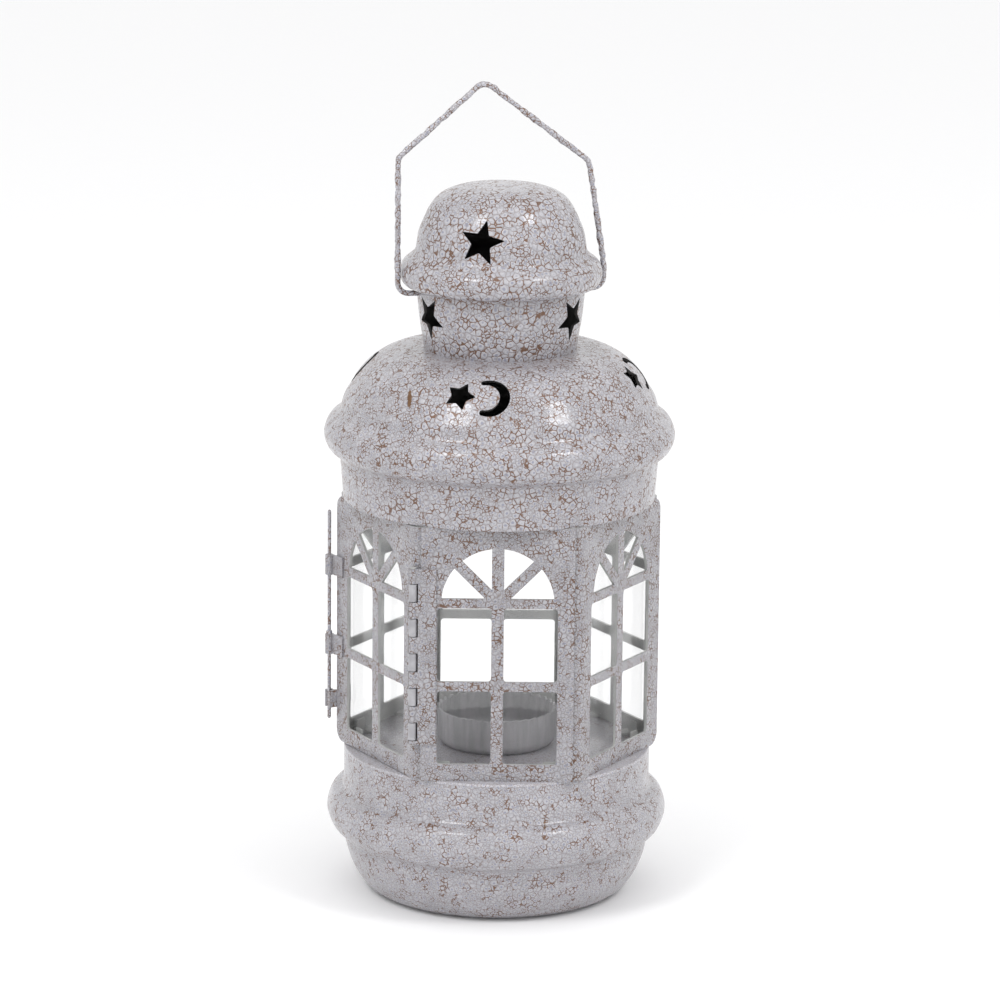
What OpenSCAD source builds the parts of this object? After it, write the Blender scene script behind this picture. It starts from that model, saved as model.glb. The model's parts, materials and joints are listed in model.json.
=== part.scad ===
// Hexagonal tealight lantern: turned base, six window panels with one
// hinged door, pierced big cap, pierced small cap and a wire bail.
// Millimetres. +Z up, origin at the centre of the flat underside.
// The front panel faces -Y. Panels are drawn in their own frame, outer face
// towards -Y, and turned about Z into place.

/* [Body] */
// Distance across the flats of the hexagonal body
across_flats = 100.6; // [90:0.2:118]
// Height of the six panels
panel_h = 92; // [80:1:120]
// Thickness of the panel sheet
sheet_t = 1; // [0.8:0.1:1.3]
// Outside radius where a panel's edge is bent round a corner
bend_r = 5; // [4:0.5:6]
// How far each corner is left bare beside the front panel
front_reveal = 2.04; // [1.6:0.1:2.4]
// Length of the flange tucked behind the next panel
flange_l = 4; // [2:0.5:4.5]
// Radius of the free corners of the side panels
free_corner_r = 4.5; // [2:0.5:6]

/* [Windows] */
// Width of the post on each side of the window
stile_w = 7.9; // [7:0.1:10]
// Height of the rail under the window
bottom_rail = 6.2; // [5:0.1:9]
// Metal left above the crown of the arch
crown_gap = 7.4; // [6:0.1:12]
// Width of the upright glazing bar
mullion_w = 4.3; // [3:0.1:6]
// Height of the two cross bars
transom_w = 3.5; // [3:0.1:5]
// Width of the two slanting bars of the fanlight
fan_bar_w = 3.8; // [3:0.1:5]
// How much narrower the arch is than the window on each side
arch_inset = 1.3; // [0.5:0.1:3]
// Corner radius of the lower panes
pane_corner_r = 1.2; // [0.5:0.1:2]

/* [Glass] */
// Thickness of the glass
glass_t = 1.8; // [1.5:0.1:2.2]
// How much narrower each fixed pane is than its panel
glass_inset = 9.1; // [8.6:0.1:11]
// How much narrower the door's pane is than its panel
door_glass_inset = 10.9; // [10:0.1:13]
// Thickness of the tongues that hold the glass
clip_t = 0.6; // [0.4:0.1:0.8]

/* [Base] */
// Height of the base, underside to deck
base_h = 53.5; // [45:0.5:65]
// Outside radius of the straight wall of the base
base_r = 55.4; // [50:0.1:62]
// How far the rolled bead stands out from the base
base_bead = 6; // [4:0.1:8]
// Radius of the flat underside
foot_r = 40; // [34:0.5:44]
// Thickness of the turned shells
shell_t = 1.1; // [0.9:0.1:1.5]
// Thickness of the deck and of the cap plate
plate_t = 1; // [0.8:0.1:1.5]

/* [Cup] */
// Inside radius of the tealight cup
cup_bore_r = 20.3; // [19.5:0.1:22]
// Height of the cup
cup_h = 13.3; // [10:0.1:18]
// Wall of the cup
cup_t = 0.8; // [0.6:0.1:1.2]
// Radius between the floor and the wall of the cup
cup_corner_r = 4; // [2:0.5:5]

/* [Caps] */
// Outside radius of the big cap at its rim
cap_r = 56; // [52:0.1:64]
// Height of the big cap
cap_h = 54.3; // [48:0.1:62]
// How far the bead stands out from the big cap
cap_bead = 5.6; // [4:0.1:7]
// Radius of the vent hole in the cap plate
vent_r = 24; // [18:0.5:30]
// Outside radius of the small cap at its foot
neck_r = 27.2; // [25:0.1:30]
// Height of the small cap
small_h = 58.6; // [54:0.1:66]
// How far the bead stands out from the small cap
small_bead = 6; // [4.5:0.1:7]

/* [Cut-outs] */
// Tip radius of the stars in the small cap
big_star_r = 8.2; // [5:0.1:9]
// Tip radius of the stars in the big cap
small_star_r = 5.7; // [4:0.1:6]
// Outer radius of the crescents
moon_r = 7.3; // [5:0.1:8]
// Number of star and crescent pairs round the big cap
pair_count = 4; // [2:1:5]
// Number of stars round the neck and round the small dome
star_count = 3; // [2:1:4]

/* [Hinge] */
// Length of the hinge
hinge_l = 63.7; // [50:0.1:72]
// Height of the hinge's lower end above the bottom of the panel
hinge_z = 13.5; // [8:0.1:16]
// Diameter of the hinge pin
hinge_pin_d = 1.4; // [1.2:0.1:1.6]
// Wall of the hinge knuckles
knuckle_wall = 0.75; // [0.6:0.05:0.9]
// Number of knuckles on the door
knuckles = 5; // [3:1:6]
// Spacing of the knuckles
knuckle_pitch = 12.6; // [10:0.1:14]
// Height of the slot that each door knuckle sits in
slot_h = 6.8; // [5:0.1:8]

/* [Latch] */
// Diameter of the latch rod
rod_d = 1.3; // [1.1:0.1:1.6]
// Length of the latch rod
rod_l = 77.7; // [70:0.1:80]
// How far the rod is lifted to free the door
latch_travel = 11.5; // [11:0.1:14]
// Thickness of the latch straps and of the keeper
strap_t = 0.8; // [0.6:0.1:0.9]
// Height of the straps
strap_h = 7.4; // [5:0.1:9]
// Height of the keeper
keeper_h = 6.3; // [5:0.1:7]

/* [Bail] */
// Diameter of the bail wire
wire_d = 2; // [1.6:0.1:2.4]
// Height of the bail above its pivot, to the middle of the wire
bail_h = 74.1; // [72:0.1:84]
// Angle of the bail's axis to the front panel
bail_turn = 12; // [5:1:25]
// How far the top of the bail leans to the left
bail_lean = 6.7; // [0:0.1:10]

/* [Clearances] */
// Gap all round a moving piece
gap = 0.35; // [0.3:0.05:0.5]
// Radial clearance of a pin in its bore
running = 0.05; // [0.02:0.01:0.09]

/* [Hidden] */
$fn = 64;

paint = [0.80, 0.80, 0.84];
bare = [0.62, 0.65, 0.64];
clear_glass = [0.82, 0.88, 0.88, 0.4];

// body
ap = across_flats / 2;
side_w = 2 * ap * tan(30);
front_w = side_w - 2 * front_reveal;
deck_z = base_h;
cap_z = deck_z + panel_h;
neck_z = cap_z + cap_h;
door_h = panel_h - 2 * gap;
stop_l = 1.4;

// windows, heights above the bottom of the panel
window_w = side_w - 2 * stile_w;
arch_r = window_w / 2 - arch_inset;
spring_z = panel_h - crown_gap - arch_r;
upper_bar_z = spring_z - transom_w / 2;
pane_w = (window_w - mullion_w) / 2;
pane_h = (upper_bar_z - bottom_rail - transom_w) / 2;

// feet folded in at the bottom and top of each fixed panel
foot_w = 6;
foot_l = 6;
foot_x = 13;

// glass and tongues
glass_foot = sheet_t + 2 * clip_t;
glass_h = panel_h - 2 * glass_foot;
clip_w = 5;
clip_l = 4.6;
glass_w = side_w - glass_inset;
door_glass_w = side_w - door_glass_inset;
clip_x = glass_w / 2 - clip_w / 2 - 3;

// cup rivet
rivet_r = 1.5;
rivet_gap = 0.05;
rivet_head_r = 2.8;
rivet_head_h = 0.7;

// hinge: its axis stands clear of the bend of the door
bore_r = hinge_pin_d / 2 + running;
knuckle_r = bore_r + knuckle_wall;
door_bend_ap = ap - gap;
leaf_t = 0.8;
leaf_w = 6.7;
corner_x = bend_x(door_bend_ap);
pin_reach = bend_r + gap + knuckle_r;
pin_in_door = [corner_x + pin_reach * sin(30), -(ap - bend_r) - pin_reach * cos(30)];
pin_at = turn_point(pin_in_door, 300);
slot_mid = hinge_z + (hinge_l - 3) / 2 - 0.5;
pin_head_r = bore_r + 0.4;
pin_head_h = 0.4;
door_knuckle_h = slot_h - 2 * 0.3;

// latch, in the door's own frame
rod_bore_r = rod_d / 2 + running + 0.02;
loop_r = rod_bore_r + strap_t;
slot_r = rod_d / 2 + gap;
rod_at = [-side_w / 2 - gap - strap_t - slot_r - 0.06, -ap - rod_bore_r - strap_t - 0.4];
strap_z = [32.2, 61.7];
lift_spare = 0.9;
keeper_z = 12.2;
rod_z = keeper_z + keeper_h + lift_spare - latch_travel;

// caps and their cut-outs: azimuths from the front, heights above the foot of each cap
skirt_flare = 1.2;
cut_depth = 12;
star_waist = 0.42;
fat_waist = 0.53;
pair_az = -16.3;
moon_az = 12;
pair_z = cap_h - 8.3;
pair_r = cap_r - 7.2;
pair_tilt = 42;
dome_star_az = -14;
dome_star_z = small_h - 16.2;
dome_star_tilt = 22;
dome_star_turn = -9;
neck_star_az = 180;
neck_star_z = 13.3;

// bail
neck_top = small_h - 36.7;
pivot_z = neck_z + neck_top - wire_d / 2 - 0.6;
bail_r = neck_r + 2.6 + small_bead + 0.2 + wire_d / 2 + gap;
bend_wire_r = 4;

// x of the middle of a panel's bend whose flange lies at distance af
function bend_x(af) = ((af - bend_r) - cos(60) * (ap - bend_r)) / sin(60);

function turn_point(p, a) = [p[0] * cos(a) - p[1] * sin(a), p[0] * sin(a) + p[1] * cos(a)];

// points on an arc
function arc(c, r, a0, a1, n) =
    [for (i = [0:n]) c + r * [cos(a0 + (a1 - a0) * i / n), sin(a0 + (a1 - a0) * i / n)]];

// smooth curve through the points p, n steps a span
function curve(p, n) = concat(
    [for (i = [0:len(p) - 2], j = [0:n - 1])
        blend(p[max(i - 1, 0)], p[i], p[i + 1], p[min(i + 2, len(p) - 1)], j / n)],
    [p[len(p) - 1]]);
function blend(a, b, c, d, t) =
    b + 0.5 * t * (c - a) + t * t * (a - 2.5 * b + 2 * c - 0.5 * d)
    + t * t * t * (-0.5 * a + 1.5 * b - 1.5 * c + 0.5 * d);

// the line p moved by t to its left, for the inside of a wall
function unit(v) = v / norm(v);
function inside(p, t) = [for (i = [0:len(p) - 1])
    let (d = unit(p[min(i + 1, len(p) - 1)] - p[max(i - 1, 0)]))
    [max(p[i][0] - t * d[1], 0), p[i][1] + t * d[0]]];

// wall of thickness t inside the outline p, turned about Z
module turned(p, t) {
    inner = inside(p, t);
    rotate_extrude($fn = 96)
        polygon(concat(p, [for (i = [len(p) - 1:-1:0]) inner[i]]));
}

// five-pointed star standing on the XY plane
module star(r, depth) {
    linear_extrude(depth)
        polygon([for (i = [0:9]) (i % 2 == 0 ? r : r * star_waist) * [sin(36 * i), cos(36 * i)]]);
}

// square with round corners, lower left corner at the origin
module round_rect(w, h, r) {
    translate([r, 0]) square([w - 2 * r, h]);
    translate([0, r]) square([w, h - 2 * r]);
    for (x = [r, w - r], y = [r, h - r]) translate([x, y]) circle(r, $fn = 24);
}

// ---- window panels ----

// everything that is punched out of a panel, x across and y up
module window_shape() {
    for (s = [0, 1], row = [0, 1])
        mirror([s, 0, 0])
            translate([mullion_w / 2, bottom_rail + row * (pane_h + transom_w)])
                round_rect(pane_w, pane_h, pane_corner_r);
    translate([0, spring_z]) difference() {
        circle(arch_r);
        translate([-arch_r - 1, -arch_r - 1]) square([2 * arch_r + 2, arch_r + 1 + transom_w / 2]);
        translate([-mullion_w / 2, 0]) square([mullion_w, arch_r + 1]);
        for (a = [-45, 45]) rotate(a) translate([-fan_bar_w / 2, 0]) square([fan_bar_w, arch_r + 1]);
    }
}

module window_cut() {
    translate([0, -ap + sheet_t + 3, 0])
        rotate([90, 0, 0])
            linear_extrude(sheet_t + 6 + sheet_t) window_shape();
}

// outline of a panel's left end: the bend, then the flange behind the next panel
function bent_end(af, flange) =
    let (c = [-bend_x(af), -(ap - bend_r)], along = [cos(120), sin(120)], steps = 8,
        outer = arc(c, bend_r, 270, 210, steps), inner = arc(c, bend_r - sheet_t, 210, 270, steps))
    flange == 0 ? concat(outer, inner)
    : concat(outer, [outer[steps] + flange * along, inner[0] + flange * along], inner);
function mirrored(p) = [for (i = [len(p) - 1:-1:0]) [-p[i][0], p[i][1]]];
plain_end = [[-side_w / 2, -ap], [-side_w / 2, -ap + sheet_t]];

// plan of a panel: each end is bent to a flange at the given distance, or plain where that is 0
module panel_plan(left_af, left_flange, right_af, right_flange) {
    polygon(concat(left_af == 0 ? plain_end : bent_end(left_af, left_flange),
        mirrored(right_af == 0 ? plain_end : bent_end(right_af, right_flange))));
}

// takes the corners off a plain edge at the right, where the next bend lets it show
module free_corners(h) {
    r = free_corner_r;
    for (m = [0, 1])
        translate([side_w / 2 - r, -ap - 1, m * h]) mirror([0, 0, m])
            difference() {
                translate([0, 0, -1]) cube([r + 1, sheet_t + 2, r + 1]);
                translate([0, -1, r]) rotate([-90, 0, 0]) cylinder(r = r, h = sheet_t + 4);
            }
}

// feet folded inwards, bottom and top
module feet() {
    for (s = [-1, 1], z = [0, panel_h - sheet_t])
        translate([s * foot_x - foot_w / 2, -ap + sheet_t / 2, z])
            cube([foot_w, foot_l, sheet_t]);
}

module side_panel(turn, right_af, right_flange) {
    color(paint) rotate([0, 0, turn]) translate([0, 0, deck_z]) {
        difference() {
            linear_extrude(panel_h)
                panel_plan(turn == 60 ? ap : ap - sheet_t, flange_l, right_af, right_flange);
            window_cut();
            if (right_af == 0) free_corners(panel_h);
        }
        feet();
    }
}

module right_panel() { side_panel(60, 0, 0); }
module rear_right_panel() { side_panel(120, 0, 0); }
module rear_panel() { side_panel(180, 0, 0); }
module rear_left_panel() { side_panel(240, ap - sheet_t - gap, stop_l); }

module front_panel() {
    color(paint) translate([0, 0, deck_z]) {
        difference() {
            translate([-front_w / 2, -ap - sheet_t, 0]) cube([front_w, sheet_t, panel_h]);
            window_cut();
        }
        for (s = [-1, 1], z = [0, panel_h - sheet_t])
            translate([s * foot_x - foot_w / 2, -ap - sheet_t / 2, z])
                cube([foot_w, foot_l, sheet_t]);
    }
}

module door_panel() {
    color(paint) rotate([0, 0, 300]) difference() {
        translate([0, 0, deck_z]) difference() {
            translate([0, 0, gap]) linear_extrude(door_h) panel_plan(0, 0, door_bend_ap, 0);
            window_cut();
            translate([0, 0, gap]) mirror([1, 0, 0]) free_corners(door_h);
        }
        for (i = [0:knuckles - 1])
            translate([0, 0, knuckle_mid(i) - door_knuckle_h / 2])
                linear_extrude(door_knuckle_h) knuckle_tab(bend_r - sheet_t - 1, bend_r + 1);
    }
}

// ---- glass ----

module pane(turn, w, back) {
    color(clear_glass) rotate([0, 0, turn])
        translate([-w / 2, -back, deck_z + glass_foot]) cube([w, glass_t, glass_h]);
}

front_back = ap - sheet_t;
side_back = ap - 2 * sheet_t;

module front_glass() { pane(0, glass_w, front_back); }
module right_glass() { pane(60, glass_w, side_back); }
module rear_right_glass() { pane(120, glass_w, side_back); }
module rear_glass() { pane(180, glass_w, side_back); }
module rear_left_glass() { pane(240, glass_w, side_back); }
module door_glass() { pane(300, door_glass_w, side_back); }

// tongues bent under and over the edge of one pane
module tongues(turn, back) {
    deep = sheet_t + glass_t + clip_t;
    rotate([0, 0, turn]) translate([0, 0, deck_z])
        for (s = [-1, 1], m = [0, 1])
            translate([s * clip_x - clip_w / 2, -back - sheet_t, m * panel_h]) mirror([0, 0, m]) {
                translate([0, 0, glass_foot - clip_t]) cube([clip_w, deep, clip_t]);
                translate([0, deep - clip_t, glass_foot - clip_t]) cube([clip_w, clip_t, clip_l]);
            }
}

module glass_tongues() {
    color(bare) {
        tongues(0, front_back);
        for (turn = [60:60:240]) tongues(turn, side_back);
    }
}

module door_glass_tongues() { color(bare) tongues(300, side_back); }

// ---- base, deck and cup ----

base_outline = concat(
    [[0, 0]],
    curve([[foot_r, 0], [foot_r + 5.2, 1.0], [foot_r + 9, 4.2], [base_r - 3.3, 9.2],
        [base_r - 1.2, 15], [base_r - 0.2, base_h - 33.5]], 5),
    curve([[base_r + 0.6, base_h - 32], [base_r + 0.65 * base_bead, base_h - 29.5],
        [base_r + base_bead, base_h - 23.5], [base_r + 0.72 * base_bead, base_h - 17.5],
        [base_r + 0.6, base_h - 15]], 5),
    [[base_r, base_h - 13.4], [base_r, base_h - plate_t]]);

module base_bowl() {
    color(paint) turned(base_outline, shell_t);
}

module deck_plate() {
    hole_r = rivet_r + rivet_gap;
    color(paint) translate([0, 0, base_h - plate_t]) rotate_extrude($fn = 96)
        polygon([[hole_r, 0], [base_r, 0], [base_r, plate_t / 2],
            [base_r - 0.15, 0.85 * plate_t], [base_r - plate_t / 2, plate_t], [hole_r, plate_t]]);
}

module tealight_cup() {
    c = cup_corner_r;
    out_r = cup_bore_r + cup_t;
    color(bare) translate([0, 0, deck_z]) rotate_extrude($fn = 96)
        polygon(concat(
            [[rivet_r + rivet_gap, 0]], arc([out_r - c, c], c, -90, 0, 10),
            [[out_r, cup_h - 1.2]], arc([out_r - 0.1, cup_h - 0.6], 0.6, -45, 90, 6),
            [[cup_bore_r, cup_h]],
            arc([cup_bore_r - c + cup_t, c], c - cup_t, 0, -90, 10),
            [[rivet_r + rivet_gap, cup_t]]));
}

module cup_rivet() {
    color(bare) translate([0, 0, deck_z]) {
        translate([0, 0, -plate_t]) cylinder(r = rivet_r, h = plate_t + cup_t, $fn = 24);
        translate([0, 0, cup_t]) cylinder(r = rivet_head_r, h = rivet_head_h, $fn = 32);
        translate([0, 0, -plate_t - rivet_head_h])
            cylinder(r = rivet_head_r, h = rivet_head_h, $fn = 32);
    }
}

// ---- hinge ----

function knuckle_mid(i) = deck_z + slot_mid + (i - (knuckles - 1) / 2) * knuckle_pitch;

// tab from the inside of the door's bend to the knuckle, in the door's frame
module knuckle_tab(r0, r1) {
    translate([corner_x, -(ap - bend_r)]) rotate(-60)
        translate([r0, -leaf_t / 2]) square([r1 - r0, leaf_t]);
}

module hinge_leaf() {
    color(paint) translate([0, 0, deck_z + hinge_z]) difference() {
        union() {
            translate(pin_at) cylinder(r = knuckle_r, h = hinge_l, $fn = 32);
            translate([pin_at[0] + bore_r + 0.2, -ap - sheet_t - leaf_t, 0])
                cube([leaf_w + knuckle_r - bore_r - 0.2, leaf_t, hinge_l]);
        }
        translate([pin_at[0], pin_at[1], -1]) cylinder(r = bore_r, h = hinge_l + 2, $fn = 32);
        for (i = [0:knuckles - 1])
            translate([pin_at[0] - 2 * knuckle_r, pin_at[1] - 2 * knuckle_r,
                knuckle_mid(i) - deck_z - hinge_z - slot_h / 2])
                cube([3 * knuckle_r + gap, 4 * knuckle_r, slot_h]);
    }
}

module door_hinge_leaf() {
    c = [corner_x, -(ap - bend_r)];
    in_r = bend_r - sheet_t;
    color(bare) rotate([0, 0, 300]) {
        translate([0, 0, deck_z + hinge_z]) linear_extrude(hinge_l)
            intersection() {
                translate(c) difference() {
                    circle(in_r - 0.02);
                    circle(in_r - leaf_t);
                }
                polygon([c, c + 8 * [cos(276), sin(276)], c + 8 * [cos(300), sin(300)],
                    c + 8 * [cos(324), sin(324)]]);
            }
        for (i = [0:knuckles - 1])
            translate([0, 0, knuckle_mid(i) - door_knuckle_h / 2]) difference() {
                union() {
                    linear_extrude(door_knuckle_h)
                        knuckle_tab(in_r - leaf_t / 2, pin_reach - bore_r - 0.2);
                    translate(pin_in_door) cylinder(r = knuckle_r - 0.05, h = door_knuckle_h, $fn = 32);
                }
                translate([pin_in_door[0], pin_in_door[1], -1])
                    cylinder(r = bore_r, h = door_knuckle_h + 2, $fn = 32);
            }
    }
}

module hinge_pin() {
    color(bare) translate([pin_at[0], pin_at[1], deck_z + hinge_z]) {
        cylinder(d = hinge_pin_d, h = hinge_l, $fn = 32);
        for (z = [-pin_head_h, hinge_l])
            translate([0, 0, z]) cylinder(r = pin_head_r, h = pin_head_h, $fn = 32);
    }
}

// ---- latch ----

module latch_rod() {
    collar_z = strap_z[0] + strap_h - rod_z;
    color(paint) rotate([0, 0, 300]) translate([rod_at[0], rod_at[1], deck_z + rod_z])
        rotate_extrude($fn = 32) polygon([
            [0, 0], [rod_d / 2 - 0.3, 0], [rod_d / 2, 0.5],
            [rod_d / 2, collar_z], [rod_d / 2 + 0.45, collar_z],
            [rod_d / 2 + 0.45, collar_z + 1], [rod_d / 2, collar_z + 1.4],
            [rod_d / 2, rod_l - 0.5], [rod_d / 2 - 0.3, rod_l], [0, rod_l]]);
}

module latch_straps() {
    step_x = -side_w / 2 + 0.05;
    arm_y = rod_at[1] + loop_r - strap_t;
    color(paint) rotate([0, 0, 300])
        for (z = strap_z) translate([0, 0, deck_z + z]) linear_extrude(strap_h) difference() {
            union() {
                translate(rod_at) circle(loop_r, $fn = 32);
                translate([rod_at[0], arm_y])
                    square([step_x + strap_t - rod_at[0], strap_t]);
                translate([step_x, arm_y]) square([strap_t, -ap - arm_y]);
                translate([step_x, -ap - strap_t]) square([5, strap_t]);
            }
            translate(rod_at) circle(rod_bore_r, $fn = 32);
        }
}

// open clip on the rear left panel: the rod drops into it and leaves it sideways
module latch_keeper() {
    bottom_y = rod_at[1] + slot_r;
    foot_end = side_w / 2 - 2 * gap - 0.04;
    color(paint) translate([0, 0, deck_z + keeper_z]) linear_extrude(keeper_h) {
        rotate(300) difference() {
            union() {
                translate(rod_at - [slot_r + strap_t, slot_r - 0.15])
                    square([2 * (slot_r + strap_t), 2 * slot_r + strap_t - 0.15]);
                translate([rod_at[0] + 0.3, bottom_y])
                    square([slot_r + strap_t - 0.3, strap_t + 0.75]);
            }
            translate(rod_at - [slot_r, 3 * slot_r]) square([2 * slot_r, 4 * slot_r]);
        }
        rotate(240) translate([foot_end - 9, -ap - strap_t]) square([9, strap_t]);
    }
}

// ---- caps ----

module cap_plate() {
    color(bare) translate([0, 0, cap_z]) difference() {
        cylinder(r = cap_r - shell_t - 0.05, h = plate_t, $fn = 96);
        translate([0, 0, -1]) cylinder(r = vent_r, h = plate_t + 2, $fn = 64);
    }
}

cap_outline = let (w = cap_r + skirt_flare, top = cap_h) concat(
    [[cap_r, 0], [cap_r + 0.35, 6], [w - 0.3, 12.5], [w, 15]],
    curve([[w + 0.6, 16], [w + 0.7 * cap_bead, 18.4], [w + cap_bead, 23.2],
        [w + 0.68 * cap_bead, 28.4], [w + 0.4, 31]], 5),
    curve([[w - 0.5, top - 21.8], [w - 1.6, top - 17.8], [w - 3.9, top - 14],
        [w - 6.5, top - 9.8], [w - 10.4, top - 5.6], [w - 15.2, top - 2.4],
        [w - 20.6, top - 0.6], [neck_r + 1.6, top]], 4),
    [[neck_r - 1.4, top], [neck_r - 4, top]]);

small_outline = let (w = neck_r + 2.6, h = small_h) concat(
    [[neck_r, 0], [neck_r + 1, 6], [neck_r + 1.9, 12], [w, h - 39.6], [w, neck_top]],
    curve([[w + 1, neck_top + 0.2], [w + 0.8 * small_bead, h - 35.4],
        [w + small_bead + 0.2, h - 31.6], [w + 0.86 * small_bead, h - 27.8],
        [w + 0.25 * small_bead, h - 24.6], [w + 0.6, h - 22.8]], 5),
    curve([[w + 0.3, h - 21], [w - 0.4, h - 17], [w - 1.9, h - 13], [w - 4.2, h - 8.2],
        [w - 7.4, h - 4.2], [w - 12.4, h - 1.7], [w - 18, h - 0.6], [0, h]], 4));

// puts a flat cut-out on a cap: azimuth from the front, height, radius and the slope of the wall
module on_wall(az, z, r, tilt) {
    rotate([0, 0, az]) translate([0, -r, z]) rotate([90 - tilt, 0, 0])
        translate([0, 0, -cut_depth / 2]) children();
}

module crescent() {
    tip_x = -0.3 * moon_r;
    hole_r = 0.685 * moon_r;
    shift = 0.18 * moon_r;
    out_y = sqrt(moon_r * moon_r - tip_x * tip_x);
    in_y = sqrt(hole_r * hole_r - (tip_x + shift) * (tip_x + shift));
    linear_extrude(cut_depth) {
        difference() {
            circle(moon_r);
            translate([-shift, 0]) circle(hole_r);
            translate([tip_x - 2 * moon_r, -moon_r]) square([2 * moon_r, 2 * moon_r]);
        }
        for (s = [-1, 1]) translate([tip_x, s * (out_y + in_y) / 2])
            circle((out_y - in_y) / 2, $fn = 24);
    }
}

module fat_star(r) {
    linear_extrude(cut_depth) polygon([for (i = [0:9])
        (i % 2 == 0 ? r : r * fat_waist) * [cos(36 * i), sin(36 * i)]]);
}

module big_cap() {
    color(paint) translate([0, 0, cap_z]) difference() {
        turned(cap_outline, shell_t);
        for (i = [0:pair_count - 1]) {
            turn = pair_az + i * 360 / pair_count;
            on_wall(turn, pair_z, pair_r, pair_tilt) fat_star(small_star_r);
            on_wall(turn + moon_az, pair_z, pair_r, pair_tilt) crescent();
        }
    }
}

module small_cap() {
    color(paint) translate([0, 0, neck_z]) difference() {
        turned(small_outline, shell_t);
        for (i = [0:star_count - 1]) {
            on_wall(dome_star_az + i * 360 / star_count, dome_star_z, neck_r + 1.4, dome_star_tilt)
                rotate(dome_star_turn) star(big_star_r, cut_depth);
            on_wall(neck_star_az + i * 360 / star_count, neck_star_z, neck_r + 1.8, 0)
                rotate(180) star(big_star_r, cut_depth);
        }
        translate([0, 0, pivot_z - neck_z]) rotate([0, 0, bail_turn])
            rotate([0, 90, 0]) translate([0, 0, -neck_r - 8])
                cylinder(d = wire_d + 2 * running, h = 2 * neck_r + 16, $fn = 32);
    }
}

// ---- bail ----

// the line p with each inner corner rounded to radius r
function rounded(p, r, steps = 7) = [for (i = [0:len(p) - 1])
    if (i == 0 || i == len(p) - 1) p[i]
    else let (v = unit(p[i] - p[i - 1]), t = turn_at(p, i), s = sign(t),
        start = p[i] - r * tan(abs(t) / 2) * v, c = start + s * r * [-v[1], v[0]],
        a0 = atan2(start[1] - c[1], start[0] - c[0]))
        each arc(c, r, a0, a0 + t, steps)];

// signed angle by which the line p turns at point i
function turn_at(p, i) =
    let (v = p[i] - p[i - 1], w = p[i + 1] - p[i])
    atan2(v[0] * w[1] - v[1] * w[0], v[0] * w[0] + v[1] * w[1]);

// round wire of diameter d along the line p in the XY plane; its ends taper into the pivots
module wire(p, d) {
    sides = 16;
    last = len(p) - 1;
    points = [for (i = [0:last])
        let (v = unit(p[min(i + 1, last)] - p[max(i - 1, 0)]), r = (i == 0 || i == last ? 0.8 : 1) * d / 2)
        for (j = [0:sides - 1]) let (a = 360 * j / sides)
            [p[i][0] - r * cos(a) * v[1], p[i][1] + r * cos(a) * v[0], r * sin(a)]];
    polyhedron(points, concat(
        [[for (j = [0:sides - 1]) j]],
        [for (i = [0:last - 1], j = [0:sides - 1]) let (k = (j + 1) % sides)
            [i * sides + j, (i + 1) * sides + j, (i + 1) * sides + k, i * sides + k]],
        [[for (j = [sides - 1:-1:0]) last * sides + j]]));
}

module bail_handle() {
    end_x = neck_r - 2.2;
    head_l = 0.8;
    pivot_x = bail_r - bend_wire_r - 0.2;
    path = rounded([
        [-pivot_x, 0], [-bail_r, 0], [-bail_r, bail_h - 25.6], [-bail_lean, bail_h + 1.25],
        [bail_r - 5.8, bail_h - 28.4], [bail_r, 8.5], [bail_r, 0], [pivot_x, 0]], bend_wire_r);
    color(paint) translate([0, 0, pivot_z]) rotate([0, 0, bail_turn]) {
        rotate([90, 0, 0])
            wire(concat([[-pivot_x + 0.6, 0]], path, [[pivot_x - 0.6, 0]]), wire_d);
        for (s = [-1, 1]) rotate([0, s * 90, 0]) translate([0, 0, end_x]) {
            cylinder(d = wire_d, h = pivot_x - end_x, $fn = 32);
            cylinder(r = wire_d / 2 + 0.7, h = head_l, $fn = 32);
        }
    }
}

base_bowl();
deck_plate();
tealight_cup();
cup_rivet();
front_panel();
door_panel();
right_panel();
rear_right_panel();
rear_panel();
rear_left_panel();
front_glass();
door_glass();
right_glass();
rear_right_glass();
rear_glass();
rear_left_glass();
glass_tongues();
door_glass_tongues();
hinge_leaf();
door_hinge_leaf();
hinge_pin();
latch_rod();
latch_straps();
latch_keeper();
cap_plate();
big_cap();
small_cap();
bail_handle();
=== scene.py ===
import json
import math

import bmesh
import bpy
from mathutils import Matrix, Vector


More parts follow.
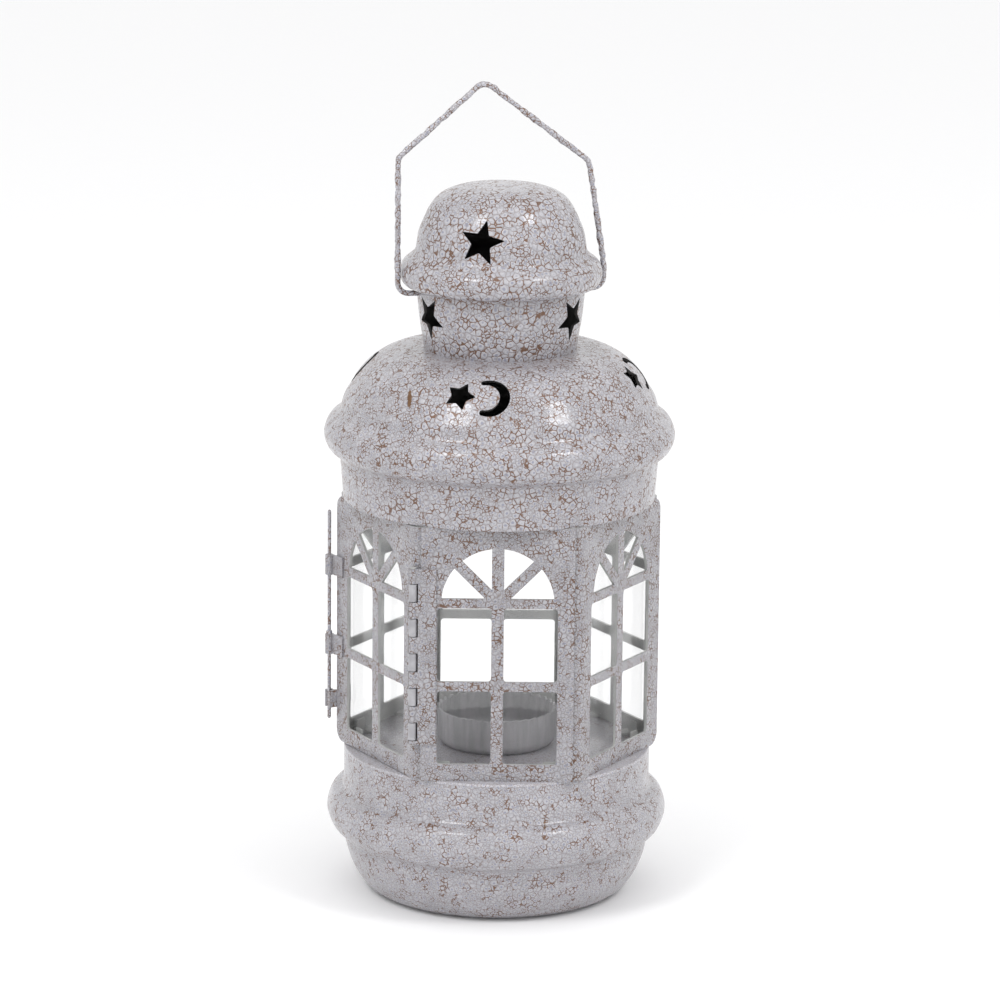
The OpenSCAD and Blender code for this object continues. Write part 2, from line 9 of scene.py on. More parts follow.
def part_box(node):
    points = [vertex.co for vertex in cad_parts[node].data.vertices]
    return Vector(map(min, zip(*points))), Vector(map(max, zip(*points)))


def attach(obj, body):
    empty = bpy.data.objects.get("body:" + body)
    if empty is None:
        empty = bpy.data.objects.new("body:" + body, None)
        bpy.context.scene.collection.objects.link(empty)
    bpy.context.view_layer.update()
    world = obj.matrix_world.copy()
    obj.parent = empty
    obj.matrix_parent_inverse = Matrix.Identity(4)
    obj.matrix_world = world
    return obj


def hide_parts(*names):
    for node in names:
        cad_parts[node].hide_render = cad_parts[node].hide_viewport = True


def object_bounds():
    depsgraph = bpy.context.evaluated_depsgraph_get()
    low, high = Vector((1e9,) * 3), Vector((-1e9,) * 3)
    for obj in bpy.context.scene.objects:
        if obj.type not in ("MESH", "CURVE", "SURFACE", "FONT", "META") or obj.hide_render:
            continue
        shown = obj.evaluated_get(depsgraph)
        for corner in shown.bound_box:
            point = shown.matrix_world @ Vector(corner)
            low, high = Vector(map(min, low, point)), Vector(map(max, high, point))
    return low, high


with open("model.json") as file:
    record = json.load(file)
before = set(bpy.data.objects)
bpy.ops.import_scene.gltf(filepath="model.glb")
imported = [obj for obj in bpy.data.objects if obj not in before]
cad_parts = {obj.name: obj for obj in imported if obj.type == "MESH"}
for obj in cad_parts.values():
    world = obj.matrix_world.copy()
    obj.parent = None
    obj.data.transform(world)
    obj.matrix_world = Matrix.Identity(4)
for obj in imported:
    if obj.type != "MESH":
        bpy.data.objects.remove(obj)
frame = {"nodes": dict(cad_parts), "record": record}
cadLow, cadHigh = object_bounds()
nodes = frame["nodes"]
bodyOf = {n: body for body, names in frame["record"]["behaviour"]["bodies"].items() for n in names}
print("frame loaded:", len(nodes), "nodes")

# small helpers

def feed(tree, socket, value):
    if isinstance(value, bpy.types.NodeSocket):
        tree.links.new(value, socket)
    else:
        socket.default_value = value


def addNode(tree, kind, values=None, **settings):
    node = tree.nodes.new(kind)
    for key, value in settings.items():
        setattr(node, key, value)
    for key, value in (values or {}).items():
        feed(tree, node.inputs[key], value)
    return node


def maths(tree, operation, *values):
    node = addNode(tree, "ShaderNodeMath", operation=operation)
    for socket, value in zip(node.inputs, values):
        feed(tree, socket, value)
    return node.outputs[0]


# smooth step of value from 0 at low to 1 at high; low may be above high
def smoothStep(tree, value, low, high):
    node = addNode(tree, "ShaderNodeMapRange", interpolation_type="SMOOTHSTEP")
    for name, each in zip(("Value", "From Min", "From Max"), (value, low, high)):
        feed(tree, node.inputs[name], each)
    return node.outputs["Result"]


def blendColors(tree, factor, first, second):
    node = addNode(tree, "ShaderNodeMix", data_type="RGBA")
    for index, value in ((0, factor), (6, first), (7, second)):
        feed(tree, node.inputs[index], value)
    return node.outputs[2]


def noise(tree, vector, scale, detail=2.0):
    node = addNode(tree, "ShaderNodeTexNoise", {"Vector": vector, "Scale": scale, "Detail": detail})
    return node.outputs["Fac"]


def newGroup(name, kind, inputs, outputs):
    tree = bpy.data.node_groups.new(name, kind)
    for label, socketType, value in inputs:
        socket = tree.interface.new_socket(label, in_out="INPUT", socket_type=socketType)
        if value is not None:
            socket.default_value = value
    for label, socketType in outputs:
        tree.interface.new_socket(label, in_out="OUTPUT", socket_type=socketType)
    start = tree.nodes.new("NodeGroupInput").outputs
    end = tree.nodes.new("NodeGroupOutput").inputs
    return tree, start, end


def useGroup(tree, group, values):
    node = addNode(tree, "ShaderNodeGroup", node_tree=group)
    for key, value in values.items():
        feed(tree, node.inputs[key], value)
    return node.outputs


# shader groups

# round paint cells that pull apart and bare the ground coat between them
def crackleGroup():
    tree, start, end = newGroup("crackleCells", "ShaderNodeTree", [
        ("Vector", "NodeSocketVector", None),
        ("Cell Size", "NodeSocketFloat", 0.002),
        ("Fine Share", "NodeSocketFloat", 0.5),
        ("Bareness", "NodeSocketFloat", 0.5),
    ], [("Vein", "NodeSocketFloat"), ("Seam", "NodeSocketFloat"), ("Dot", "NodeSocketFloat"),
        ("Ring", "NodeSocketFloat"), ("Height", "NodeSocketFloat")])
    place, cell = start["Vector"], start["Cell Size"]
    scale = maths(tree, "DIVIDE", 1.0, cell)
    wobble = addNode(tree, "ShaderNodeTexNoise", {"Vector": place, "Scale": scale, "Detail": 1.0})
    shift = addNode(tree, "ShaderNodeVectorMath", {0: wobble.outputs["Color"], 1: (0.5, 0.5, 0.5)},
                    operation="SUBTRACT")
    reach = addNode(tree, "ShaderNodeVectorMath", {0: shift.outputs[0]}, operation="SCALE")
    feed(tree, reach.inputs["Scale"], maths(tree, "MULTIPLY", cell, 0.42))
    warped = addNode(tree, "ShaderNodeVectorMath", {0: place, 1: reach.outputs[0]}).outputs[0]

    patch = noise(tree, place, 110.0, 1.0)
    low = maths(tree, "SUBTRACT", 0.64, maths(tree, "MULTIPLY", start["Fine Share"], 0.28))
    finePart = smoothStep(tree, patch, low, maths(tree, "ADD", low, 0.03))
    found = []
    for step in (1.0, 1.45):
        size = maths(tree, "MULTIPLY", scale, step)
        centre = addNode(tree, "ShaderNodeTexVoronoi", {"Vector": warped, "Scale": size},
                         feature="F1").outputs["Distance"]
        edge = addNode(tree, "ShaderNodeTexVoronoi", {"Vector": warped, "Scale": size},
                       feature="DISTANCE_TO_EDGE").outputs["Distance"]
        found.append((centre, edge))
    mixed = []
    for first, second in zip(*found):
        node = addNode(tree, "ShaderNodeMix", {0: finePart, 2: first, 3: second}, data_type="FLOAT")
        mixed.append(node.outputs[0])
    centre, edge = mixed

    spread = noise(tree, place, 260.0, 2.0)
    gate = maths(tree, "SUBTRACT", 0.72, maths(tree, "MULTIPLY", start["Bareness"], 0.42))
    opened = smoothStep(tree, spread, gate, maths(tree, "ADD", gate, 0.10))
    corner = smoothStep(tree, centre, 0.34, 0.50)
    gap = smoothStep(tree, edge, 0.105, 0.035)
    vein = maths(tree, "MULTIPLY", maths(tree, "MULTIPLY", gap, corner), opened)
    feed(tree, end["Vein"], vein)
    feed(tree, end["Seam"], smoothStep(tree, edge, 0.075, 0.0))
    feed(tree, end["Dot"], smoothStep(tree, centre, 0.36, 0.14))
    inner = smoothStep(tree, centre, 0.24, 0.36)
    outer = smoothStep(tree, centre, 0.54, 0.42)
    feed(tree, end["Ring"], maths(tree, "MULTIPLY", inner, outer))
    body = smoothStep(tree, edge, 0.0, 0.22)
    dip = maths(tree, "MULTIPLY", smoothStep(tree, centre, 0.30, 0.0), 0.35)
    feed(tree, end["Height"], maths(tree, "SUBTRACT", body, dip))
    return tree


# slow unevenness of hand-sprayed paint: a tone and a height
def unevenGroup():
    tree, start, end = newGroup("unevenCoat", "ShaderNodeTree", [
        ("Vector", "NodeSocketVector", None),
        ("Patch Size", "NodeSocketFloat", 0.01),
    ], [("Tone", "NodeSocketFloat"), ("Height", "NodeSocketFloat"), ("Speck", "NodeSocketFloat")])
    scale = maths(tree, "DIVIDE", 1.0, start["Patch Size"])
    feed(tree, end["Tone"], noise(tree, start["Vector"], scale, 4.0))
    feed(tree, end["Height"], noise(tree, start["Vector"], maths(tree, "MULTIPLY", scale, 3.0), 2.0))
    grain = noise(tree, start["Vector"], maths(tree, "MULTIPLY", scale, 12.0), 1.0)
    feed(tree, end["Speck"], smoothStep(tree, grain, 0.62, 0.74))
    return tree


# one upright knock through the paint, as a soft-edged oval
def knockGroup():
    tree, start, end = newGroup("paintKnock", "ShaderNodeTree", [
        ("Vector", "NodeSocketVector", None),
        ("Place", "NodeSocketVector", (0.0, 0.0, 0.0)),
        ("Half Size", "NodeSocketVector", (0.001, 0.003, 0.003)),
    ], [("Mask", "NodeSocketFloat")])
    ragged = addNode(tree, "ShaderNodeTexNoise", {"Vector": start["Vector"], "Scale": 900.0})
    away = addNode(tree, "ShaderNodeVectorMath", {0: start["Vector"], 1: start["Place"]},
                   operation="SUBTRACT")
    ratio = addNode(tree, "ShaderNodeVectorMath", {0: away.outputs[0], 1: start["Half Size"]},
                    operation="DIVIDE")
    length = addNode(tree, "ShaderNodeVectorMath", {0: ratio.outputs[0]}, operation="LENGTH")
    edge = maths(tree, "ADD", length.outputs["Value"], maths(tree, "MULTIPLY", ragged.outputs["Fac"], 0.7))
    feed(tree, end["Mask"], smoothStep(tree, edge, 1.35, 1.05))
    return tree


crackleCells = crackleGroup()
unevenCoat = unevenGroup()
paintKnock = knockGroup()

# materials

paintColors = dict(
    cell=(0.36, 0.355, 0.385, 1), ring=(0.45, 0.44, 0.465, 1), dot=(0.21, 0.215, 0.285, 1),
    seam=(0.20, 0.155, 0.14, 1), vein=(0.155, 0.085, 0.055, 1), knock=(0.14, 0.07, 0.03, 1),
)


def newMaterial(name):
    material = bpy.data.materials.new(name)
    material.use_nodes = True
    tree = material.node_tree
    tree.nodes.clear()
    shader = tree.nodes.new("ShaderNodeBsdfPrincipled")
    output = tree.nodes.new("ShaderNodeOutputMaterial")
    tree.links.new(shader.outputs[0], output.inputs["Surface"])
    coords = tree.nodes.new("ShaderNodeTexCoord").outputs["Object"]
    return material, tree, shader, coords


def cracklePaint(name, cellSize, fineShare, bareness, turn=0.0, tint=1.0, knocks=()):
    material, tree, shader, coords = newMaterial(name)
    place = addNode(tree, "ShaderNodeMapping", {"Vector": coords,
                                                "Rotation": (turn, turn, turn)}).outputs[0]
    cells = useGroup(tree, crackleCells, {"Vector": place, "Cell Size": cellSize,
                                          "Fine Share": fineShare, "Bareness": bareness})
    coat = useGroup(tree, unevenCoat, {"Vector": coords, "Patch Size": 0.012})
    color = paintColors["cell"]
    color = blendColors(tree, maths(tree, "MULTIPLY", cells["Ring"], 0.8), color, paintColors["ring"])
    color = blendColors(tree, maths(tree, "MULTIPLY", cells["Dot"], 0.75), color, paintColors["dot"])
    color = blendColors(tree, maths(tree, "MULTIPLY", cells["Seam"], 0.8), color, paintColors["seam"])
    color = blendColors(tree, cells["Vein"], color, paintColors["vein"])
    shade = maths(tree, "MULTIPLY_ADD", coat["Tone"], 0.24, tint - 0.12)
    color = addNode(tree, "ShaderNodeVectorMath", {0: color}, operation="SCALE")
    feed(tree, color.inputs["Scale"], shade)
    color = color.outputs[0]
    bare = cells["Vein"]
    for spot, halfSize in knocks:
        mask = useGroup(tree, paintKnock, {"Vector": coords, "Place": spot, "Half Size": halfSize})["Mask"]
        color = blendColors(tree, mask, color, paintColors["knock"])
        bare = maths(tree, "MAXIMUM", bare, mask)
    height = maths(tree, "MULTIPLY_ADD", cells["Height"], 0.55,
                   maths(tree, "MULTIPLY", coat["Height"], 0.9))
    bump = addNode(tree, "ShaderNodeBump", {"Strength": 1.0, "Distance": 0.00028, "Height": height})
    feed(tree, shader.inputs["Base Color"], color)
    feed(tree, shader.inputs["Metallic"], maths(tree, "MULTIPLY", bare, 0.45))
    feed(tree, shader.inputs["Roughness"], maths(tree, "MULTIPLY_ADD", bare, 0.16, 0.30))
    feed(tree, shader.inputs["Coat Weight"], maths(tree, "MULTIPLY_ADD", bare, -0.35, 0.55))
    shader.inputs["Coat Roughness"].default_value = 0.12
    feed(tree, shader.inputs["Normal"], bump.outputs[0])
    return material


def plainPaint(name, color, darker, patchSize, roughness, streak=1.0):
    material, tree, shader, coords = newMaterial(name)
    place = addNode(tree, "ShaderNodeMapping", {"Vector": coords, "Scale": (1, 1, streak)}).outputs[0]
    coat = useGroup(tree, unevenCoat, {"Vector": place, "Patch Size": patchSize})
    tone = smoothStep(tree, coat["Tone"], 0.32, 0.68)
    mixed = blendColors(tree, tone, darker, color)
    mixed = blendColors(tree, maths(tree, "MULTIPLY", coat["Speck"], 0.5), mixed, darker)
    bump = addNode(tree, "ShaderNodeBump", {"Strength": 0.6, "Distance": 0.00012,
                                            "Height": coat["Height"]})
    feed(tree, shader.inputs["Base Color"], mixed)
    feed(tree, shader.inputs["Roughness"], maths(tree, "MULTIPLY_ADD", tone, -0.1, roughness))
    feed(tree, shader.inputs["Normal"], bump.outputs[0])
    return material


def clearGlass():
    material, tree, shader, coords = newMaterial("clearGlass")
    coat = useGroup(tree, unevenCoat, {"Vector": coords, "Patch Size": 0.02})
    shader.inputs["Base Color"].default_value = (0.99, 0.995, 0.99, 1)
    shader.inputs["Transmission Weight"].default_value = 1.0
    shader.inputs["IOR"].default_value = 1.45
    feed(tree, shader.inputs["Roughness"], maths(tree, "MULTIPLY", coat["Tone"], 0.05))
    ray = tree.nodes.new("ShaderNodeLightPath").outputs["Is Shadow Ray"]
    feed(tree, shader.inputs["Alpha"], maths(tree, "MULTIPLY_ADD", ray, -0.06, 0.08))
    return material


# places of the two old knocks: the big cap's shoulder and the bead of the base
knockSizes = dict(capAngle=-38.9, capHeight=0.1886, capRadius=0.0501,
                  capHalf=(0.0010, 0.006, 0.0038), baseAngle=16.6, baseHeight=0.0395,
                  baseRadius=0.0605, baseHalf=(0.0010, 0.006, 0.0032))


def around(angle, radius, height):
    turn = math.radians(angle)
    return (radius * math.sin(turn), -radius * math.cos(turn), height)


capKnock = (around(knockSizes["capAngle"], knockSizes["capRadius"], knockSizes["capHeight"]),
            knockSizes["capHalf"])
baseKnock = (around(knockSizes["baseAngle"], knockSizes["baseRadius"], knockSizes["baseHeight"]),
             knockSizes["baseHalf"])

capPaint = cracklePaint("capPaint", 0.0019, 0.50, 0.70, knocks=(capKnock,))
smallCapPaint = cracklePaint("smallCapPaint", 0.0021, 0.40, 0.70, turn=0.7)
basePaint = cracklePaint("basePaint", 0.0017, 0.55, 0.55, turn=0.3, tint=1.02, knocks=(baseKnock,))
panelPaint = cracklePaint("panelPaint", 0.0016, 0.50, 0.65, turn=1.1, tint=0.87)
# painted shade: dark colour of the softened panel edges, standing for the shade along the edges and in the
# gaps beside them
rimPaint = plainPaint("rimPaint", (0.20, 0.19, 0.20, 1), (0.13, 0.12, 0.125, 1), 0.004, 0.45)
wirePaint = cracklePaint("wirePaint", 0.0016, 0.40, 0.75, turn=0.5, tint=1.05)
deckPaint = cracklePaint("deckPaint", 0.0015, 0.50, 0.30, turn=0.9, tint=1.22)
innerPaint = plainPaint("innerPaint", (0.47, 0.47, 0.46, 1), (0.38, 0.385, 0.38, 1), 0.010, 0.52)
# painted shade: near-black colour on the upright side faces of the panels and the hinge plate, standing
# for the shadow in the narrow gaps beside them
gapPaint = plainPaint("gapPaint", (0.10, 0.085, 0.08, 1), (0.06, 0.05, 0.048, 1), 0.004, 0.60)
# painted shade: the insides of both caps painted near-black for the dark, unlit hollow they enclose
sootPaint = plainPaint("sootPaint", (0.060, 0.056, 0.055, 1), (0.035, 0.033, 0.033, 1), 0.010, 0.62)
edgePaint = plainPaint("edgePaint", (0.40, 0.395, 0.415, 1), (0.31, 0.305, 0.325, 1), 0.004, 0.42)
cupPaint = plainPaint("cupPaint", (0.44, 0.43, 0.45, 1), (0.35, 0.35, 0.36, 1), 0.0030, 0.45, streak=0.12)
glassClear = clearGlass()
print("materials made")

# mesh helpers

def newObject(name, mesh):
    piece = bpy.data.objects.new(name, mesh)
    bpy.context.scene.collection.objects.link(piece)
    return piece


# the modifiers of a piece turned into a plain mesh
def settle(piece):
    bpy.context.view_layer.update()
    graph = bpy.context.evaluated_depsgraph_get()
    mesh = bpy.data.meshes.new_from_object(piece.evaluated_get(graph), preserve_all_data_layers=True,
                                           depsgraph=graph)
    piece.modifiers.clear()
    piece.data = mesh
    return piece


def discard(*pieces):
    for piece in pieces:
        bpy.data.objects.remove(piece)


def softShading(piece, angle=32):
    mesh = piece.data
    mesh.polygons.foreach_set("use_smooth", [True] * len(mesh.polygons))
    mesh.set_sharp_from_angle(angle=math.radians(angle))


def finishPiece(piece, body, slotName, *replaced):
    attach(piece, body)
    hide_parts(*replaced)
    return piece


def arcPoints(centre, radius, startAngle, endAngle, steps):
    turns = [math.radians(startAngle + (endAngle - startAngle) * i / steps) for i in range(steps + 1)]
    return [(centre[0] + radius * math.cos(t), centre[1] + radius * math.sin(t)) for t in turns]


# smooth line through the points
def smoothLine(points, steps):
    points = [Vector(p) for p in points]
    line = []
    for i in range(len(points) - 1):
        a, b = points[max(i - 1, 0)], points[i]
        c, d = points[i + 1], points[min(i + 2, len(points) - 1)]
        for j in range(steps):
            t = j / steps
            line.append(b + 0.5 * t * (c - a) + t * t * (a - 2.5 * b + 2 * c - 0.5 * d)
                        + t ** 3 * (-0.5 * a + 1.5 * b - 1.5 * c + 0.5 * d))
    return [tuple(p) for p in line] + [tuple(points[-1])]


# the same line moved to its left by the wall
def innerLine(line, wall):
    moved = []
    for i, (r, z) in enumerate(line):
        before, after = Vector(line[max(i - 1, 0)]), Vector(line[min(i + 1, len(line) - 1)])
        along = (after - before).normalized()
        moved.append((max(r - wall * along.y, 0.0), z + wall * along.x))
    return moved


# closed wall between the outline and its inner line, turned about Z: outer faces take the
# first material and the rest the second
def turnedShell(name, outline, wall, segments, materials, slack=1e-6):
    section = list(outline) + list(reversed(innerLine(outline, wall)))
    work = bmesh.new()
    rings = []
    for r, z in section:
        if r < slack:
            rings.append([work.verts.new((0, 0, z))])
        else:
            rings.append([work.verts.new((r * math.cos(2 * math.pi * i / segments),
                                          r * math.sin(2 * math.pi * i / segments), z))
                          for i in range(segments)])
    count = len(rings)
    for k in range(count):
        low, high = rings[k], rings[(k + 1) % count]
        if len(low) == 1 and len(high) == 1:
            continue
        for i in range(segments):
            j = (i + 1) % segments
            corners = [low[i % len(low)], low[j % len(low)], high[j % len(high)], high[i % len(high)]]
            corners = list(dict.fromkeys(corners))
            face = work.faces.new(corners)
            face.material_index = 0 if k < len(outline) else 1
    bmesh.ops.recalc_face_normals(work, faces=work.faces)
    mesh = bpy.data.meshes.new(name)
    for material in materials:
        mesh.materials.append(material)
    work.to_mesh(mesh)
    work.free()
    return newObject(name, mesh)


# prism of a flat outline; x across and y up become a cut through the wall at the front
def wallCutter(name, outline, radius, height, tilt, spin=0.0, depth=0.012):
    work = bmesh.new()
    face = work.faces.new([work.verts.new((x, y, -depth / 2)) for x, y in outline])
    grown = bmesh.ops.extrude_face_region(work, geom=[face])
    bmesh.ops.translate(work, verts=[v for v in grown["geom"] if isinstance(v, bmesh.types.BMVert)],
                        vec=(0, 0, depth))
    bmesh.ops.recalc_face_normals(work, faces=work.faces)
    place = (Matrix.Translation((0, -radius, height)) @ Matrix.Rotation(math.radians(90 - tilt), 4, "X")
             @ Matrix.Rotation(math.radians(spin), 4, "Z"))
    work.transform(place)
    mesh = bpy.data.meshes.new(name)
    work.to_mesh(mesh)
    work.free()
    return newObject(name, mesh)


def starOutline(radius, waist):
    return [((radius if i % 2 == 0 else radius * waist) * math.sin(math.radians(36 * i)),
             (radius if i % 2 == 0 else radius * waist) * math.cos(math.radians(36 * i)))
            for i in range(10)]


# outline with its corners rounded by cutting each twice
def rounded(outline, share):
    for part in (share, 0.25):
        cut = []
        for i, here in enumerate(outline):
            a, b, c = (Vector(outline[i - 1]), Vector(here), Vector(outline[(i + 1) % len(outline)]))
            cut += [tuple(b.lerp(a, part)), tuple(b.lerp(c, part))]
        outline = cut
    return outline


def crescentOutline(radius, steps=28):
    hole, shift, tipX = 0.685 * radius, 0.18 * radius, -0.3 * radius
    outTurn = math.degrees(math.acos(tipX / radius))
    inTurn = math.degrees(math.acos((tipX + shift) / hole))
    outer = arcPoints((0, 0), radius, -outTurn, outTurn, steps)
    inner = arcPoints((-shift, 0), hole, inTurn, -inTurn, steps)
    ends = []
    for first, second, side in ((outer[-1], inner[0], 1), (inner[-1], outer[0], -1)):
        middle = ((first[0] + second[0]) / 2, (first[1] + second[1]) / 2)
        half = math.dist(first, second) / 2
        start = math.degrees(math.atan2(first[1] - middle[1], first[0] - middle[0]))
        ends.append(arcPoints(middle, half, start, start + 180, 8)[1:-1])
    return outer + ends[0] + inner + ends[1]


# geometry node trees

def newTree(name, inputs):
    tree, start, end = newGroup(name, "GeometryNodeTree",
                                [("Geometry", "NodeSocketGeometry", None)] + inputs,
                                [("Geometry", "NodeSocketGeometry")])
    tree.is_modifier = True
    return tree, start, end


def useTree(piece, tree, values):
    modifier = piece.modifiers.new(tree.name, "NODES")
    modifier.node_group = tree
    sockets = {s.name: s.identifier for s in tree.interface.items_tree if s.in_out == "INPUT"}
    for name, value in values.items():
        modifier[sockets[name]] = value
    return modifier


# copies of the piece's mesh set round Z
def ringTree():
    tree, start, end = newTree("ringOfCuts", [
        ("Count", "NodeSocketInt", 3), ("First Angle", "NodeSocketFloat", 0.0),
        ("Material", "NodeSocketMaterial", None)])
    points = addNode(tree, "GeometryNodePoints", {"Count": start["Count"]})
    index = tree.nodes.new("GeometryNodeInputIndex").outputs[0]
    step = maths(tree, "DIVIDE", 2 * math.pi, start["Count"])
    angle = maths(tree, "MULTIPLY_ADD", index, step, start["First Angle"])
    turn = addNode(tree, "ShaderNodeCombineXYZ", {"Z": angle})
    rotation = addNode(tree, "FunctionNodeEulerToRotation", {0: turn.outputs[0]})
    copies = addNode(tree, "GeometryNodeInstanceOnPoints", {
        "Points": points.outputs[0], "Instance": start["Geometry"], "Rotation": rotation.outputs[0]})
    real = addNode(tree, "GeometryNodeRealizeInstances", {"Geometry": copies.outputs[0]})
    painted = addNode(tree, "GeometryNodeSetMaterial", {"Geometry": real.outputs[0],
                                                       "Material": start["Material"]})
    feed(tree, end["Geometry"], painted.outputs[0])
    return tree


# wire along the piece's edges with its corners bent round, lumpy with paint above a height
def wireTree():
    tree, start, end = newTree("lumpyWire", [
        ("Wire Radius", "NodeSocketFloat", 0.001), ("Bend Radius", "NodeSocketFloat", 0.004),
        ("Step", "NodeSocketFloat", 0.0005), ("Lump Size", "NodeSocketFloat", 0.0016),
        ("Lump Height", "NodeSocketFloat", 0.0002), ("Clean Below", "NodeSocketFloat", 0.0),
        ("Seed", "NodeSocketFloat", 3.0), ("Material", "NodeSocketMaterial", None)])
    line = addNode(tree, "GeometryNodeMeshToCurve", {"Mesh": start["Geometry"]})
    bent = addNode(tree, "GeometryNodeFilletCurve", {"Curve": line.outputs[0],
                                                    "Radius": start["Bend Radius"]})
    bent.mode = "POLY"
    bent.inputs["Count"].default_value = 12
    even = addNode(tree, "GeometryNodeResampleCurve", {"Curve": bent.outputs[0]})
    even.mode = "LENGTH"
    feed(tree, even.inputs["Length"], start["Step"])
    ring = addNode(tree, "GeometryNodeCurvePrimitiveCircle", {"Resolution": 16,
                                                             "Radius": start["Wire Radius"]})
    tube = addNode(tree, "GeometryNodeCurveToMesh", {"Curve": even.outputs[0],
                                                    "Profile Curve": ring.outputs[0], "Fill Caps": True})
    place = tree.nodes.new("GeometryNodeInputPosition").outputs[0]
    scale = maths(tree, "DIVIDE", 1.0, start["Lump Size"])
    lumps = addNode(tree, "ShaderNodeTexNoise", {"Vector": place, "W": start["Seed"], "Scale": scale,
                                                 "Detail": 1.0}, noise_dimensions="4D").outputs[0]
    up = addNode(tree, "ShaderNodeSeparateXYZ", {0: place}).outputs["Z"]
    above = smoothStep(tree, up, start["Clean Below"], maths(tree, "ADD", start["Clean Below"], 0.006))
    size = maths(tree, "MULTIPLY", maths(tree, "SUBTRACT", lumps, 0.5), start["Lump Height"])
    outwards = tree.nodes.new("GeometryNodeInputNormal").outputs[0]
    offset = addNode(tree, "ShaderNodeVectorMath", {0: outwards}, operation="SCALE")
    feed(tree, offset.inputs["Scale"], maths(tree, "MULTIPLY", size, above))
    lumpy = addNode(tree, "GeometryNodeSetPosition", {"Geometry": tube.outputs[0],
                                                     "Offset": offset.outputs[0]})
    real = addNode(tree, "GeometryNodeRealizeInstances", {"Geometry": lumpy.outputs[0]})
    painted = addNode(tree, "GeometryNodeSetMaterial", {"Geometry": real.outputs[0],
                                                       "Material": start["Material"]})
    feed(tree, end["Geometry"], painted.outputs[0])
    return tree


# drawn wrinkles that run up a wall and grow towards its rim
def wrinkleTree():
    tree, start, end = newTree("drawnWrinkles", [
        ("Count", "NodeSocketInt", 24), ("Depth", "NodeSocketFloat", 0.0003),
        ("Floor Height", "NodeSocketFloat", 0.0), ("Rim Height", "NodeSocketFloat", 0.01),
        ("Least Radius", "NodeSocketFloat", 0.01), ("Seed", "NodeSocketFloat", 5.0),
        ("Material", "NodeSocketMaterial", None)])
    place = tree.nodes.new("GeometryNodeInputPosition").outputs[0]
    part = addNode(tree, "ShaderNodeSeparateXYZ", {0: place}).outputs
    angle = maths(tree, "ARCTAN2", part["Y"], part["X"])
    wave = maths(tree, "SINE", maths(tree, "MULTIPLY", angle, start["Count"]))
    flat = addNode(tree, "ShaderNodeCombineXYZ", {"X": part["X"], "Y": part["Y"]}).outputs[0]
    patchy = addNode(tree, "ShaderNodeTexNoise", {"Vector": flat, "W": start["Seed"], "Scale": 90.0},
                     noise_dimensions="4D").outputs[0]
    strength = maths(tree, "MULTIPLY", wave, maths(tree, "MULTIPLY", patchy, start["Depth"]))
    rise = smoothStep(tree, part["Z"], start["Floor Height"], start["Rim Height"])
    radius = addNode(tree, "ShaderNodeVectorMath", {0: flat}, operation="LENGTH").outputs["Value"]
    onWall = smoothStep(tree, radius, start["Least Radius"],
                        maths(tree, "ADD", start["Least Radius"], 0.004))
    amount = maths(tree, "MULTIPLY", maths(tree, "MULTIPLY", strength, rise), onWall)
    outwards = addNode(tree, "ShaderNodeVectorMath", {0: flat}, operation="NORMALIZE")
    side = addNode(tree, "ShaderNodeVectorMath", {0: outwards.outputs[0]}, operation="SCALE")
    feed(tree, side.inputs["Scale"], amount)
    up = addNode(tree, "ShaderNodeCombineXYZ", {"Z": maths(tree, "MULTIPLY", amount, 0.9)})
    offset = addNode(tree, "ShaderNodeVectorMath", {0: side.outputs[0], 1: up.outputs[0]})
    moved = addNode(tree, "GeometryNodeSetPosition", {"Geometry": start["Geometry"],
                                                     "Offset": offset.outputs[0]})
    real = addNode(tree, "GeometryNodeRealizeInstances", {"Geometry": moved.outputs[0]})
    painted = addNode(tree, "GeometryNodeSetMaterial", {"Geometry": real.outputs[0],
                                                       "Material": start["Material"]})
    feed(tree, end["Geometry"], painted.outputs[0])
    return tree


ringOfCuts, lumpyWire, drawnWrinkles = ringTree(), wireTree(), wrinkleTree()


# cuts a ring of equal openings through a shell
def cutRing(shell, cutter, count, firstAngle, material):
    useTree(cutter, ringOfCuts, {"Count": count, "First Angle": math.radians(firstAngle),
                                 "Material": material})
    settle(cutter)
    cut = shell.modifiers.new("cut", "BOOLEAN")
    cut.operation, cut.solver, cut.object = "DIFFERENCE", "EXACT", cutter
    settle(shell)
    discard(cutter)


# base, cup and caps

shellSizes = dict(wall=0.0011, segments=224)
baseShape = dict(bead=0.006, foot=0.040)
low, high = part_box("base_bowl")
baseR, top = high.x - baseShape["bead"], high.z + 0.001
bead, foot = baseShape["bead"], baseShape["foot"]
baseOutline = [(0.0, 0.0)] + smoothLine([
    (foot, 0), (foot + 0.0052, 0.0010), (foot + 0.009, 0.0042), (baseR - 0.0033, 0.0092),
    (baseR - 0.0012, 0.015), (baseR - 0.0002, top - 0.0335)], 6) + smoothLine([
        (baseR + 0.0006, top - 0.032), (baseR + 0.65 * bead, top - 0.0295),
        (baseR + bead, top - 0.0235), (baseR + 0.72 * bead, top - 0.0175),
        (baseR + 0.0006, top - 0.015)], 8) + [(baseR, top - 0.0134), (baseR, high.z)]
baseShell = turnedShell("baseShell", baseOutline, shellSizes["wall"], shellSizes["segments"],
                        (basePaint, innerPaint))
softShading(baseShell, 60)
finishPiece(baseShell, bodyOf["base_bowl"], "crackle_paint", "base_bowl")

